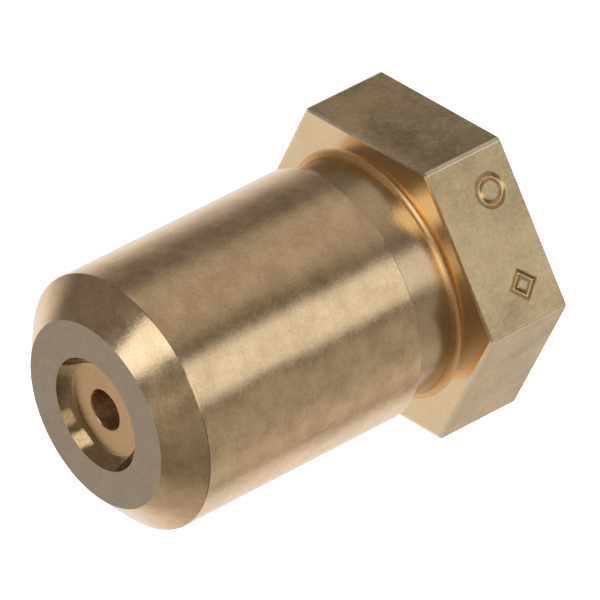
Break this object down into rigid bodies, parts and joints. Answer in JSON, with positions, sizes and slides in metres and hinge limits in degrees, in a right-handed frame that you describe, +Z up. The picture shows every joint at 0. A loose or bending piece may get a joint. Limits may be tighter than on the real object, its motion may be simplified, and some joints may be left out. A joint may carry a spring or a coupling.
{
  "type": "oil burner nozzle",
  "caption": "Turned brass burner nozzle: chamfered barrel with a recessed orifice, hexagon with a threaded inlet, swirl parts and strainer inside.",
  "frame": {"origin": "on the nozzle's axis, in the plane of the inlet face", "axes": "+Y along the axis out of the inlet, so the tip points to -Y; +Z up with two of the hexagon's flats level"},
  "size_m": [0.0146, 0.0186, 0.0126],
  "materials": {
    "body_brass": "turned, satin",
    "disc_brass": "turned, satin, warmer",
    "distributor_steel": "ground",
    "screw_brass": "turned",
    "strainer_brass": "turned",
    "gauze_steel": "woven wire",
    "washer_copper": "soft copper, dull"
  },
  "bodies": {
    "nozzle": {"nozzle_body": "body_brass", "orifice_disc": "disc_brass"},
    "distributor": {"swirl_distributor": "distributor_steel"},
    "screw": {"lock_screw": "screw_brass"},
    "strainer": {"strainer_socket": "strainer_brass", "strainer_core": "strainer_brass", "strainer_gauze": "gauze_steel", "strainer_cap": "strainer_brass"},
    "washer": {"sealing_washer": "washer_copper"}
  },
  "joints": [
    {"name": "distributor_slide", "type": "slide", "parent": "nozzle", "child": "distributor", "axis": [0, 1, 0], "range_m": [0, 0.003]},
    {"name": "lock_screw_turn", "type": "hinge", "parent": "distributor", "child": "screw", "pos_m": [0, -0.011, 0], "axis": [0, 1, 0], "range_deg": [0, 1440]},
    {"name": "strainer_pull", "type": "slide", "parent": "screw", "child": "strainer", "axis": [0, 1, 0], "range_m": [0, 0.0105]},
    {"name": "washer_pull", "type": "slide", "parent": "nozzle", "child": "washer", "axis": [0, 1, 0], "range_m": [0, 0.0065]}
  ],
  "couplings": [
    {"joint": "lock_screw_turn", "follows": "distributor_slide", "rad_per_m": 8377.6}
  ]
}
